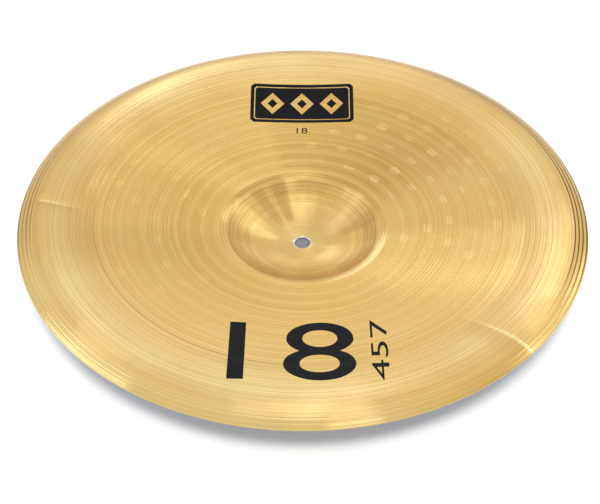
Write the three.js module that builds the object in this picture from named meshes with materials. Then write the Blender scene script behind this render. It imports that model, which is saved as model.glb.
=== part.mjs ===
// China cymbal: one sheet of brass, pressed and spun to a bell, a bow and a flange that turns back.
// It lies as a china is played, with the bell down and the inside up.
// Millimetres, +Z up. The origin is under the middle of the crown, on the cymbal's axis.
import * as THREE from 'three';

// Rim
const DIAMETER = 457.2;
const RIM_THICKNESS = 0.8;

// Mounting hole and the flat crown round it
const HOLE_DIAMETER = 12.5;
const HOLE_CHAMFER = 0.3;
const CROWN_DIAMETER = 39;
const CROWN_ROUND = 3;

// Bell, measured on the inside of the sheet
const BELL_DIAMETER = 129;
const BELL_DEPTH = 18.7;
const BELL_WALL_BULGE = 3.4;
const BELL_THICKNESS = 1;
const SHOULDER_ROUND = 5;

// Bow, from the bell's shoulder out to the crease
const BOW_RISE = 15.8;
const BOW_SAG = 1.5;
const CREASE_ROUND = 1.6;

// Flange, from the crease up to its crest, and its lip, from the crest down to the rim
const FLANGE_WIDTH = 35.8;
const FLANGE_RISE = 5.2;
const LIP_WIDTH = 23.2;
const RIM_DROP = 6.7;

// Turned grooves inside the rim, which draw closer together inwards
const GROOVE_COUNT = 4;
const GROOVE_INSET = 4.9;
const GROOVE_PITCH = 3.4;
const GROOVE_PITCH_SHARE = 0.74;
const GROOVE_WIDTH = 1.3;
const GROOVE_DEPTH = 0.14;

// Steps along each stretch of the section, and round the axis
const CORNER_STEPS = 3;
const SHOULDER_STEPS = 4;
const WALL_STEPS = 6;
const BOW_STEPS = 6;
const FLANGE_STEPS = 4;
const LIP_STEPS = 4;
const CAP_STEPS = 4;
const TURN_STEPS = 72;

const holeRadius = HOLE_DIAMETER / 2;
const bellRadius = BELL_DIAMETER / 2;
const rimRadius = (DIAMETER - RIM_THICKNESS) / 2;
const crestRadius = rimRadius - LIP_WIDTH;
const creaseRadius = crestRadius - FLANGE_WIDTH;

const at = (radius, height) => new THREE.Vector2(radius, height);

// The corners of the inside face: x is the distance from the axis, y the height over the crown.
const holeEdge = at(holeRadius + HOLE_CHAMFER, 0);
const crownEdge = at(CROWN_DIAMETER / 2, 0);
const shoulder = at(bellRadius, BELL_DEPTH);
const crease = at(creaseRadius, shoulder.y + BOW_RISE);
const crest = at(crestRadius, crease.y + FLANGE_RISE);
const rim = at(rimRadius, crest.y - RIM_DROP);

// A circular arc round a centre, the short way from one point to the other
function arcRound(centre, start, end) {
  const from = start.clone().sub(centre);
  const to = end.clone().sub(centre);
  const clockwise = from.cross(to) < 0;
  return new THREE.ArcCurve(centre.x, centre.y, from.length(), from.angle(), to.angle(), clockwise);
}

// An arc that hangs below the straight line between its ends by the given sag
function saggingArc(start, end, sag) {
  const half = start.distanceTo(end) / 2;
  const radius = (half * half + sag * sag) / (2 * sag);
  const along = end.clone().sub(start).normalize();
  const centre = start.clone().lerp(end, 0.5).add(at(-along.y, along.x).multiplyScalar(radius - sag));
  return arcRound(centre, start, end);
}

// An arc that is level at its top and runs down through its foot
function crestArc(top, foot, start, end) {
  const fall = top.y - foot.y;
  const reach = top.x - foot.x;
  const radius = (reach * reach + fall * fall) / (2 * fall);
  return arcRound(at(top.x, top.y - radius), start, end);
}

const crown = new THREE.LineCurve(holeEdge, crownEdge);
const bellWall = saggingArc(crownEdge, shoulder, BELL_WALL_BULGE);
const bow = saggingArc(shoulder, crease, BOW_SAG);
const flange = crestArc(crest, crease, crease, crest);
const lip = crestArc(crest, rim, crest, rim);

// Points on a stretch of a curve, which stops short of the curve's ends by the given lengths
function stretch(curve, trimStart, trimEnd, steps) {
  const length = curve.getLength();
  const first = trimStart / length;
  const last = 1 - trimEnd / length;
  const shareAt = (step) => THREE.MathUtils.lerp(first, last, step / steps);
  return Array.from({ length: steps + 1 }, (_, step) => curve.getPointAt(shareAt(step)));
}

// Points that round the corner between two curves, without the ends, which the stretches hold
function roundedCorner(before, corner, after, reach, steps) {
  const start = before.getPointAt(1 - reach / before.getLength());
  const end = after.getPointAt(reach / after.getLength());
  return new THREE.QuadraticBezierCurve(start, corner, end).getPoints(steps).slice(1, -1);
}

// The smooth inside face from the hole's chamfer to the crest
function innerFace() {
  return [
    ...stretch(crown, 0, CROWN_ROUND, 1),
    ...roundedCorner(crown, crownEdge, bellWall, CROWN_ROUND, CORNER_STEPS),
    ...stretch(bellWall, CROWN_ROUND, SHOULDER_ROUND, WALL_STEPS),
    ...roundedCorner(bellWall, shoulder, bow, SHOULDER_ROUND, SHOULDER_STEPS),
    ...stretch(bow, SHOULDER_ROUND, CREASE_ROUND, BOW_STEPS),
    ...roundedCorner(bow, crease, flange, CREASE_ROUND, 2),
    ...stretch(flange, CREASE_ROUND, 0, FLANGE_STEPS),
  ];
}

const smoothLip = () => stretch(lip, 0, 0, LIP_STEPS).slice(1);

// The height of the lip's arc at a distance from the axis
function lipHeight(radius) {
  const fromCentre = radius - lip.aX;
  return lip.aY + Math.sqrt(lip.xRadius * lip.xRadius - fromCentre * fromCentre);
}

// The lip with its turned grooves: each is two edges on the face and a bottom below it
function groovedLip() {
  const points = [rim.clone()];
  let radius = rim.x - GROOVE_INSET;
  let pitch = GROOVE_PITCH;
  for (let i = 0; i < GROOVE_COUNT; i += 1) {
    for (const side of [1, 0, -1]) {
      const x = radius + side * GROOVE_WIDTH / 2;
      const depth = side === 0 ? GROOVE_DEPTH : 0;
      points.unshift(at(x, lipHeight(x) - depth));
    }
    radius -= pitch;
    pitch *= GROOVE_PITCH_SHARE;
  }
  return points;
}

// The sheet is as thick as the blank over the bell, and thins evenly from there to the rim.
function thicknessAt(radius) {
  const share = THREE.MathUtils.clamp((radius - bellRadius) / (rimRadius - bellRadius), 0, 1);
  return THREE.MathUtils.lerp(BELL_THICKNESS, RIM_THICKNESS, share);
}

// The outside face: the smooth inside face moved square to itself by the sheet's thickness
function outerFace(face) {
  return face.map((point, i) => {
    const before = face[Math.max(i - 1, 0)];
    const after = face[Math.min(i + 1, face.length - 1)];
    const along = after.clone().sub(before).normalize();
    return point.clone().add(at(along.y, -along.x).multiplyScalar(thicknessAt(point.x)));
  });
}

// The rounded edge of the rim, from the inside face to the outside face
function rimCap(inner, outer) {
  const middle = inner.clone().lerp(outer, 0.5);
  const spoke = inner.clone().sub(middle);
  const turns = Array.from({ length: CAP_STEPS - 1 }, (_, step) => -Math.PI * (step + 1) / CAP_STEPS);
  return turns.map((turn) => spoke.clone().rotateAround(at(0, 0), turn).add(middle));
}

// The whole section, closed on itself, raised so that the crown stands on the ground
function section() {
  const face = innerFace();
  const outside = outerFace([...face, ...smoothLip()]);
  const hole = [
    at(holeEdge.x, -BELL_THICKNESS),
    at(holeRadius, HOLE_CHAMFER - BELL_THICKNESS),
    at(holeRadius, -HOLE_CHAMFER),
  ];
  const ring = [
    ...hole,
    ...face,
    ...groovedLip(),
    ...rimCap(rim, outside.at(-1)),
    ...outside.slice(1).reverse(),
  ];
  ring.push(ring[0].clone());
  return ring.map((point) => at(point.x, point.y + BELL_THICKNESS));
}

function cymbalGeometry() {
  const geometry = new THREE.LatheGeometry(section().reverse(), TURN_STEPS);
  geometry.rotateX(Math.PI / 2);
  return geometry;
}

const brass = new THREE.MeshStandardMaterial({
  name: 'lathed_brass',
  color: 0xd8b468,
  metalness: 1,
  roughness: 0.35,
});

const cymbal = new THREE.Mesh(cymbalGeometry(), brass);
cymbal.name = 'cymbal';

const chinaCymbal = new THREE.Group();
chinaCymbal.name = 'china_cymbal';
chinaCymbal.add(cymbal);

export default chinaCymbal;
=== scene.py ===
"""Looks of the china cymbal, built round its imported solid.

The sheet is one closed section, worked out from the same sizes as the solid, that Geometry Nodes
spin round the axis and dent with rings of hammer marks.  The turned grooves are cut in the section.
Sizes of the metal are in millimetres up to the mesh, and Blender's own objects are in metres.
"""

from __future__ import annotations

import logging
import math
import random
from dataclasses import dataclass, replace
from enum import Enum
from functools import reduce

import bpy
import numpy as np
from mathutils import Euler, Matrix, Vector
from mathutils.bvhtree import BVHTree
from mathutils.geometry import delaunay_2d_cdt


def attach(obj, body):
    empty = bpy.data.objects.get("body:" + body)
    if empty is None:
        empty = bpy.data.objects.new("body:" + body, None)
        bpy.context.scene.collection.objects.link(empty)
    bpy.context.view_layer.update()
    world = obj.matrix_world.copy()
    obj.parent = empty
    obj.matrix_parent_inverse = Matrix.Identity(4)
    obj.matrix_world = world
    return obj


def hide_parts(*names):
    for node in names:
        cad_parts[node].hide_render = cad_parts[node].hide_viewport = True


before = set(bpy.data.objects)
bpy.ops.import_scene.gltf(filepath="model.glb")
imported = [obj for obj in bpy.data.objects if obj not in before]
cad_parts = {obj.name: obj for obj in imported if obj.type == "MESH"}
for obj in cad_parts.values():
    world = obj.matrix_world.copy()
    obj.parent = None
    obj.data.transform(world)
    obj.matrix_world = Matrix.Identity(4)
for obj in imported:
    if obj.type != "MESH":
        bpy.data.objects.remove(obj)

log = logging.getLogger("cymbal")

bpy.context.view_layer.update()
BODY = "root"
NODE = "cymbal"
MM = 0.001

Node = bpy.types.Node
Socket = bpy.types.NodeSocket
Sockets = dict[str, Socket]
Feed = object  # a number, a tuple, an object, or the output socket of another node
Feeds = dict[int | str, Feed]
Colour = tuple[float, float, float]


class Desk:
    """Places and wires nodes in one tree."""

    NODE_PITCH = 180
    COLOURS_IN, COLOUR_OUT = (6, 7), 2  # the Mix node's own places for colours

    def __init__(self, tree: bpy.types.NodeTree) -> None:
        """Takes the tree that the nodes go into."""
        self.tree = tree

    def place(self, kind: str, feeds: Feeds | None = None, **settings: object) -> Node:
        """Adds a node, sets it and feeds its inputs.

        Args:
            kind: the node's type name in Blender.
            feeds: for each input, by name or place, its value or the output that feeds it.
            settings: the node's own settings.

        Returns:
            The node.
        """
        node = self.tree.nodes.new(kind)
        node.location.x = self.NODE_PITCH * len(self.tree.nodes)
        for name, value in settings.items():
            setattr(node, name, value)
        for key, value in (feeds or {}).items():
            self.feed(node.inputs[key], value)
        return node

    def feed(self, socket: Socket, value: Feed) -> None:
        """Links an output to a socket, or sets the socket's value.

        Args:
            socket: the input.
            value: the output that feeds it, or its value.
        """
        if isinstance(value, Socket):
            self.tree.links.new(value, socket)
        else:
            socket.default_value = value

    def calc(self, operation: str, *terms: Feed) -> Socket:
        """Works out a number from one, two or three numbers."""
        return self.place("ShaderNodeMath", dict(enumerate(terms)), operation=operation).outputs[0]

    def chain(self, operation: str, *terms: Feed) -> Feed:
        """Works out a number from any number of terms, two by two."""
        return reduce(lambda one, other: self.calc(operation, one, other), terms)

    def times(self, *factors: Feed) -> Feed:
        """The product of some numbers."""
        return self.chain("MULTIPLY", *factors)

    def most(self, *values: Feed) -> Feed:
        """The largest of some numbers."""
        return self.chain("MAXIMUM", *values)

    def scaled(self, value: Feed, factor: Feed, extra: Feed) -> Socket:
        """A number times a factor, and something extra."""
        return self.calc("MULTIPLY_ADD", value, factor, extra)

    def vector(self, operation: str, *terms: Feed) -> Socket:
        """Works out a vector, or a number from vectors."""
        node = self.place("ShaderNodeVectorMath", dict(enumerate(terms)), operation=operation)
        return node.outputs["Value" if operation in {"LENGTH", "DOT_PRODUCT"} else "Vector"]

    def flat(self, place: Feed) -> Socket:
        """A point's place in plan."""
        return self.vector("MULTIPLY", place, (1.0, 1.0, 0.0))

    def ease(
        self, value: Feed, low: Feed, high: Feed, start: Feed = 0.0, end: Feed = 1.0
    ) -> Socket:
        """Goes smoothly from start to end while the value goes from low to high."""
        feeds = {"Value": value, "From Min": low, "From Max": high, "To Min": start, "To Max": end}
        return self.place("ShaderNodeMapRange", feeds, interpolation_type="SMOOTHSTEP").outputs[0]

    def fade(self, value: Feed, low: Feed, high: Feed) -> Socket:
        """Falls smoothly from 1 to 0 over a range."""
        return self.ease(value, low, high, 1.0, 0.0)

    def noise(self, place: Feed, scale: float, detail: float) -> Socket:
        """A number that wanders over space about a half."""
        feeds = {"Vector": place, "Scale": scale, "Detail": detail}
        return self.place("ShaderNodeTexNoise", feeds).outputs[0]

    def blend(self, below: Feed, above: Feed, share: Feed) -> Socket:
        """Mixes a colour into another.

        Args:
            below: the colour that is there.
            above: the colour that comes in.
            share: how much of it comes in.

        Returns:
            The output that holds the mixed colour.
        """
        mix = self.place("ShaderNodeMix", None, data_type="RGBA")
        self.feed(mix.inputs["Factor"], share)
        for index, tone in zip(self.COLOURS_IN, (below, above)):
            self.feed(mix.inputs[index], tone if isinstance(tone, Socket) else (*tone, 1.0))
        return mix.outputs[self.COLOUR_OUT]

    def layered(self, below: Feed, layers: list[tuple[Feed, Feed]]) -> Feed:
        """A colour with others over it, in order, each with its share."""
        return reduce(lambda under, layer: self.blend(under, *layer), layers, below)

    def bump(self, height: Feed, strength: float = 1.0, distance: float = 1.0) -> Socket:
        """The surface's direction with a height on it."""
        feeds = {"Height": height, "Strength": strength, "Distance": distance}
        return self.place("ShaderNodeBump", feeds).outputs["Normal"]

    def finish(self, **feeds: Feed) -> None:
        """Ends a material with its shader, fed by the inputs' names with _ for a space."""
        shader = self.place("ShaderNodeBsdfPrincipled", spaced(feeds))
        self.place("ShaderNodeOutputMaterial", {"Surface": shader.outputs["BSDF"]})

    def inputs(self) -> Sockets:
        """The outputs of a new Group Input node, by name."""
        given = self.place("NodeGroupInput").outputs
        return {socket.name: socket for socket in given if socket.name}


def spaced(values: dict[str, object]) -> dict[str, object]:
    """The same values under names with a space for each _."""
    return {name.replace("_", " "): value for name, value in values.items()}


def declare(tree: bpy.types.NodeTree, **sockets: tuple[str, str]) -> None:
    """Gives a node group its inputs and outputs, by name with _ for a space."""
    for name, (side, kind) in spaced(sockets).items():
        tree.interface.new_socket(name=name, in_out=side, socket_type=kind)


NUMBER = ("INPUT", "NodeSocketFloat")
WHOLE = ("INPUT", "NodeSocketInt")
FINISH = ("INPUT", "NodeSocketMaterial")
SHAPE_IN = ("INPUT", "NodeSocketGeometry")
SHAPE_OUT = ("OUTPUT", "NodeSocketGeometry")
POINT = ("INPUT", "NodeSocketVector")
NUMBER_OUT = ("OUTPUT", "NodeSocketFloat")


# The section


@dataclass(frozen=True)
class SheetSizes:
    """The driving sizes of the sheet, in millimetres, as in the part's source."""

    diameter: float = 457.2
    rim_thickness: float = 0.8
    hole_diameter: float = 12.5
    hole_chamfer: float = 0.3
    crown_diameter: float = 39.0
    crown_round: float = 3.0
    bell_diameter: float = 129.0
    bell_depth: float = 18.7
    bell_wall_bulge: float = 3.4
    bell_thickness: float = 1.0
    shoulder_round: float = 5.0
    bow_rise: float = 15.8
    bow_sag: float = 1.5
    crease_round: float = 1.6
    flange_width: float = 35.8
    flange_rise: float = 5.2
    lip_width: float = 23.2
    rim_drop: float = 6.7


class Arc:
    """A circular arc, the short way round its centre."""

    def __init__(self, centre: np.ndarray, start: np.ndarray, end: np.ndarray) -> None:
        """Takes the centre and the two ends.

        Args:
            centre: the arc's centre.
            start: where it starts.
            end: where it ends.
        """
        self.centre, self.radius = centre, float(np.hypot(*(start - centre)))
        self.first = math.atan2(*(start - centre)[::-1])
        last = math.atan2(*(end - centre)[::-1])
        self.turn = (last - self.first + math.pi) % (2 * math.pi) - math.pi
        self.length = self.radius * abs(self.turn)

    def at(self, share: float) -> np.ndarray:
        """The point at a share of the way along."""
        angle = self.first + self.turn * share
        return self.centre + self.radius * np.array([math.cos(angle), math.sin(angle)])

    @classmethod
    def sagging(cls, start: np.ndarray, end: np.ndarray, sag: float) -> Arc:
        """An arc that hangs below the straight line between its ends by the given sag.

        Args:
            start: where it starts.
            end: where it ends.
            sag: how far its middle hangs down.

        Returns:
            The arc.
        """
        chord = end - start
        half = float(np.hypot(*chord)) / 2
        radius = (half * half + sag * sag) / (2 * sag)
        upward = np.array([-chord[1], chord[0]]) / (2 * half)
        return cls((start + end) / 2 + upward * (radius - sag), start, end)

    @classmethod
    def cresting(cls, top: np.ndarray, foot: np.ndarray, start: np.ndarray, end: np.ndarray) -> Arc:
        """An arc that is level at its top and runs down through its foot.

        Args:
            top: its level top.
            foot: a point that it runs through.
            start: where it starts.
            end: where it ends.

        Returns:
            The arc.
        """
        fall, reach = top[1] - foot[1], top[0] - foot[0]
        radius = (reach * reach + fall * fall) / (2 * fall)
        return cls(np.array([top[0], top[1] - radius]), start, end)


class SmoothFace:
    """The inside face before it is turned: a fine line from the hole's edge out to the rim."""

    STEP = 0.2
    CORNER_STEPS = 24

    def __init__(self, sizes: SheetSizes) -> None:
        """Works out the line from the sheet's sizes.

        Args:
            sizes: the sheet's sizes.
        """
        self.sizes = sizes
        self.rim_radius = (sizes.diameter - sizes.rim_thickness) / 2
        self.crest_radius = self.rim_radius - sizes.lip_width
        self.crease_radius = self.crest_radius - sizes.flange_width
        self.bell_radius = sizes.bell_diameter / 2
        hole = np.array([sizes.hole_diameter / 2 + sizes.hole_chamfer, 0.0])
        crown = np.array([sizes.crown_diameter / 2, 0.0])
        shoulder = np.array([self.bell_radius, sizes.bell_depth])
        crease = np.array([self.crease_radius, shoulder[1] + sizes.bow_rise])
        crest = np.array([self.crest_radius, crease[1] + sizes.flange_rise])
        rim = np.array([self.rim_radius, crest[1] - sizes.rim_drop])
        wall = Arc.sagging(crown, shoulder, sizes.bell_wall_bulge)
        bow = Arc.sagging(shoulder, crease, sizes.bow_sag)
        flange = Arc.cresting(crest, crease, crease, crest)
        lip = Arc.cresting(crest, rim, crest, rim)
        flat_end = crown - [sizes.crown_round, 0]
        line = [hole, flat_end]
        line += self.corner(flat_end, crown, wall.at(sizes.crown_round / wall.length))
        line += self.stretch(wall, sizes.crown_round, sizes.shoulder_round)
        line += self.corner(line[-1], shoulder, bow.at(sizes.shoulder_round / bow.length))
        line += self.stretch(bow, sizes.shoulder_round, sizes.crease_round)
        line += self.corner(line[-1], crease, flange.at(sizes.crease_round / flange.length))
        line += self.stretch(flange, sizes.crease_round, 0)
        line += self.stretch(lip, 0, 0)
        points = np.array(line) + [0, sizes.bell_thickness]
        self.radii, self.heights = points.T
        self.slopes = np.gradient(self.heights, self.radii)

    def stretch(self, arc: Arc, trim_start: float, trim_end: float) -> list[np.ndarray]:
        """Points along an arc after its trimmed start, as far as its trimmed end.

        Args:
            arc: the arc.
            trim_start: how much of it is left out at its start.
            trim_end: how much is left out at its end.

        Returns:
            The points, in order.
        """
        first, last = trim_start / arc.length, 1 - trim_end / arc.length
        steps = math.ceil((last - first) * arc.length / self.STEP)
        return [arc.at(first + (last - first) * step / steps) for step in range(1, steps + 1)]

    @classmethod
    def corner(cls, start: np.ndarray, middle: np.ndarray, end: np.ndarray) -> list[np.ndarray]:
        """Points that round the corner at the middle, after the start, up to the end."""
        shares = (step / cls.CORNER_STEPS for step in range(1, cls.CORNER_STEPS + 1))
        return [start * (1 - s) ** 2 + middle * 2 * s * (1 - s) + end * s * s for s in shares]

    def height(self, radius: float) -> float:
        """The height of the face at a distance from the axis."""
        return float(np.interp(radius, self.radii, self.heights))

    def normal(self, radius: float) -> np.ndarray:
        """The direction square to the face, out of its inside, at a distance from the axis."""
        slope = float(np.interp(radius, self.radii, self.slopes))
        return np.array([-slope, 1.0]) / math.hypot(slope, 1.0)

    def thickness(self, radius: float) -> float:
        """The sheet's thickness, which is even over the bell and thins from there to the rim.

        Args:
            radius: the distance from the axis.

        Returns:
            The thickness there.
        """
        share = (radius - self.bell_radius) / (self.rim_radius - self.bell_radius)
        thinning = self.sizes.bell_thickness - self.sizes.rim_thickness
        return self.sizes.bell_thickness - thinning * min(max(share, 0), 1)

    def inside(self, radius: float, depth: float) -> np.ndarray:
        """The point on the inside face, cut down by a depth."""
        return np.array([radius, self.height(radius)]) - self.normal(radius) * depth

    def outside(self, radius: float, depth: float) -> np.ndarray:
        """The point on the outside face, cut in by a depth."""
        return self.inside(radius, self.thickness(radius) - depth)


@dataclass(frozen=True)
class Pass:
    """One pass of the turning tool, which leaves a band of grooves from start to end.

    A pass with no depth leaves the face smooth, and its pitch is the step of the mesh.
    The last is the painted shade in the bottoms of its grooves, from 0 to 1.
    """

    start: float
    end: float
    pitch: float
    depth: float = 0.0
    spread: float = 0.35
    stain: float = 0.3


@dataclass(frozen=True)
class Cut:
    """A point of the turned face: its distance from the axis, depth, sharpness and painted groove
    shade.
    """

    radius: float
    depth: float = 0.0
    sharp: bool = False
    stain: float = 0.0


class Face(Enum):
    """The two faces of the sheet."""

    INSIDE = "inside"
    OUTSIDE = "outside"


@dataclass(frozen=True)
class Turning:
    """How both faces are turned: the tool's passes from the hole out to the rim, in millimetres.

    A groove is no shallower than the least share, and none starts in less than the least rest.
    """

    inside: tuple[Pass, ...] = (
        Pass(6.55, 16.5, 3.3),
        Pass(16.5, 19.0, 1.2),
        Pass(19.0, 19.8, 0.8, 0.03, 0.0, 0.3),
        Pass(19.8, 22.6, 1.4),
        Pass(22.6, 43.6, 2.6),
        Pass(43.6, 60.6, 1.55, 0.05, 0.2, 0.85),
        Pass(60.6, 64.4, 0.9),
        Pass(64.4, 65.2, 0.8, 0.05, 0.0, 0.6),
        Pass(65.2, 66.6, 0.9),
        Pass(66.6, 67.4, 0.8, 0.05, 0.0, 0.5),
        Pass(67.4, 69.4, 0.9),
        Pass(69.4, 118.0, 2.1, 0.08),
        Pass(118.0, 167.8, 2.35, 0.072),
        Pass(167.8, 168.8, 1.0, 0.09, 0.0, 1.0),
        Pass(168.8, 172.8, 0.8),
        Pass(172.8, 173.8, 1.0, 0.06, 0.0, 0.6),
        Pass(173.8, 176.9, 1.6, 0.03, 0.2),
        Pass(176.9, 177.9, 1.0, 0.06, 0.0, 0.6),
        Pass(177.9, 215.8, 2.2, 0.068),
    )
    outside: tuple[Pass, ...] = (
        Pass(6.55, 16.5, 5.0),
        Pass(16.5, 22.6, 1.6),
        Pass(22.6, 59.6, 4.2),
        Pass(59.6, 69.4, 1.4),
        Pass(69.4, 166.8, 6.5, 0.08),
        Pass(166.8, 171.2, 1.1),
        Pass(171.2, 226.4, 6.0, 0.08),
    )
    rim_groove_count: int = 4
    rim_groove_inset: float = 1.0
    rim_groove_pitch: float = 3.3
    rim_groove_pitch_share: float = 0.965
    rim_groove_width: float = 1.5
    rim_groove_depth: float = 0.14
    fall_share: float = 0.3
    seed: int = 18

    LEAST_REST = 0.6
    LEAST_SHARE = 0.25
    # Each row: aside, depth, and the painted shade in the groove's bottom.
    RIM_GROOVE_HALF = ((1.0, 0.0, 0.0), (0.6, 0.4, 1.0), (0.0, 1.0, 1.0))  # aside, depth, stain

    def cuts(self, side: Face, rim_radius: float) -> list[Cut]:
        """The points of one face, from the hole's edge to the rim.

        Args:
            side: the face.
            rim_radius: the radius of the rim's edge on the inside face.

        Returns:
            The points, in order outwards.
        """
        is_inside = side is Face.INSIDE
        dice = random.Random(self.seed if is_inside else self.seed + 1)
        tools = self.inside if is_inside else self.outside
        found = [Cut(tools[0].start)]
        for tool in tools:
            found += self.grooved(tool, dice) if tool.depth else self.plain(tool)
        if is_inside:
            found += self.rim_grooves(rim_radius)
        return [*found, Cut(rim_radius, sharp=True)]

    @staticmethod
    def plain(tool: Pass) -> list[Cut]:
        """Even steps along a smooth band.

        Args:
            tool: the pass, which has no depth.

        Returns:
            The points, in order outwards.
        """
        width = tool.end - tool.start
        steps = math.ceil(width / tool.pitch)
        return [Cut(tool.start + width * step / steps) for step in range(1, steps + 1)]

    def grooved(self, tool: Pass, dice: random.Random) -> list[Cut]:
        """Grooves that each fall steeply and climb slowly, no two quite alike.

        Args:
            tool: the pass.
            dice: where the random draws come from.

        Returns:
            The points, in order outwards.
        """
        found: list[Cut] = []
        radius = tool.start
        while radius < tool.end - tool.pitch * self.LEAST_REST:
            pitch = tool.pitch * (1 + dice.uniform(-tool.spread, tool.spread))
            pitch = min(pitch, tool.end - radius)
            share = dice.uniform(self.LEAST_SHARE, 1.0) if tool.spread else 1.0
            bottom = radius + pitch * self.fall_share
            radius += pitch
            found.append(Cut(bottom, tool.depth * share, True, tool.stain * share))
            found.append(Cut(radius, sharp=True))
        return found

    def rim_grooves(self, rim_radius: float) -> list[Cut]:
        """The wide grooves near the rim, which draw closer together inwards.

        Args:
            rim_radius: the radius of the rim's edge.

        Returns:
            The points, in order outwards.
        """
        found: list[Cut] = []
        radius, pitch = rim_radius - self.rim_groove_inset, self.rim_groove_pitch
        outer = self.RIM_GROOVE_HALF
        profile = outer + tuple((-aside, share, stain) for aside, share, stain in outer[1::-1])
        for _ in range(self.rim_groove_count):
            for aside, share, stain in profile:
                place = radius + aside * self.rim_groove_width / 2
                found.insert(0, Cut(place, self.rim_groove_depth * share, share == 0.0, stain))
            radius -= pitch
            pitch *= self.rim_groove_pitch_share
        return found


@dataclass(frozen=True)
class HammerMarks:
    """The rings of hammer marks, in millimetres, and how many marks each ring has.

    The same pattern is wired into the sheet's shape and into its finish.
    """

    first_ring: float = 83.0
    ring_pitch: float = 18.2
    last_ring: float = 7.0
    marks_per_step: float = 4.0
    first_steps: float = 5.0
    first_angle: float = 0.447
    half_length: float = 5.9
    half_width: float = 4.5
    scatter: float = 0.1
    seed: float = 7.0

    LENGTHS = ("first_ring", "ring_pitch", "half_length", "half_width")
    RING_NUMBERS = 64.0
    STRAY_SHARE = 0.4
    WIDTH_SPREAD, WIDTH_MIDDLE = 0.7, 0.9
    SQUARENESS = 2.4
    NUMBER_TURN, SEED_TURN, SCRAMBLE = 12.9898, 7.233, 437.585

    def inputs(self) -> dict[str, float]:
        """The pattern's inputs in metres, by the names of the sockets."""
        scales = {name: MM for name in self.LENGTHS}
        return spaced({name: value * scales.get(name, 1) for name, value in vars(self).items()})

    def declare(self, tree: bpy.types.NodeTree) -> None:
        """Gives a node group the pattern's inputs."""
        declare(tree, **{name: NUMBER for name in vars(self)})

    @classmethod
    def chance(cls, desk: Desk, number: Feed, seed: Feed, draw: float) -> Socket:
        """A number from -0.5 to 0.5 that looks random and is the same for the same mark.

        Args:
            desk: the desk of the tree.
            number: the mark's number.
            seed: the pattern's seed.
            draw: which draw for the mark it is.

        Returns:
            The output that holds it.
        """
        turn = desk.scaled(number, cls.NUMBER_TURN, desk.times(seed, cls.SEED_TURN + draw))
        spread = desk.times(desk.calc("SINE", turn), cls.SCRAMBLE)
        return desk.calc("SUBTRACT", desk.calc("FRACT", spread), 0.5)

    @classmethod
    def wire(cls, desk: Desk, given: Sockets, place: Feed) -> tuple[Feed, Feed, Feed]:
        """Wires the pattern into a tree.

        Args:
            desk: the desk of the tree.
            given: the tree's inputs, by name.
            place: the output that holds the point.

        Returns:
            The outputs that hold how far the point is from the middle of its mark, where 1 is the
            mark's edge, how heavy the mark is, from 0 to 1, and the point's distance from the axis.
        """
        axes = desk.place("ShaderNodeSeparateXYZ", {0: place})
        radius = desk.vector("LENGTH", desk.flat(place))
        angle = desk.calc("ARCTAN2", axes.outputs["Y"], axes.outputs["X"])
        past = desk.calc("SUBTRACT", radius, given["first ring"])
        ring = desk.calc("ROUND", desk.calc("DIVIDE", past, given["ring pitch"]))
        ring = desk.calc("MINIMUM", desk.calc("MAXIMUM", ring, 0.0), given["last ring"])
        count = desk.times(desk.calc("ADD", ring, given["first steps"]), given["marks per step"])
        turn = desk.times(desk.calc("SUBTRACT", angle, given["first angle"]), count)
        turn = desk.calc("DIVIDE", turn, math.tau)
        mark = desk.calc("ROUND", turn)
        number = desk.scaled(ring, cls.RING_NUMBERS, desk.calc("WRAP", mark, count, 0.0))
        aside, stray, spread, heft = (
            cls.chance(desk, number, given["seed"], draw) for draw in (1.0, 2.0, 4.0, 3.0)
        )
        across = desk.scaled(aside, given["scatter"], desk.calc("SUBTRACT", turn, mark))
        across = desk.calc("DIVIDE", desk.times(across, radius, math.tau), count)
        middle = desk.scaled(ring, given["ring pitch"], given["first ring"])
        stray = desk.times(stray, given["half width"], cls.STRAY_SHARE)
        along = desk.calc("SUBTRACT", radius, desk.calc("ADD", middle, stray))
        width = desk.scaled(spread, cls.WIDTH_SPREAD, cls.WIDTH_MIDDLE)
        width = desk.times(given["half width"], width)
        far = 0.0
        for way, reach in ((across, given["half length"]), (along, width)):
            share = desk.calc("ABSOLUTE", desk.calc("DIVIDE", way, reach))
            far = desk.calc("ADD", desk.calc("POWER", share, cls.SQUARENESS), far)
        return far, desk.calc("ADD", heft, 0.5), radius


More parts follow.
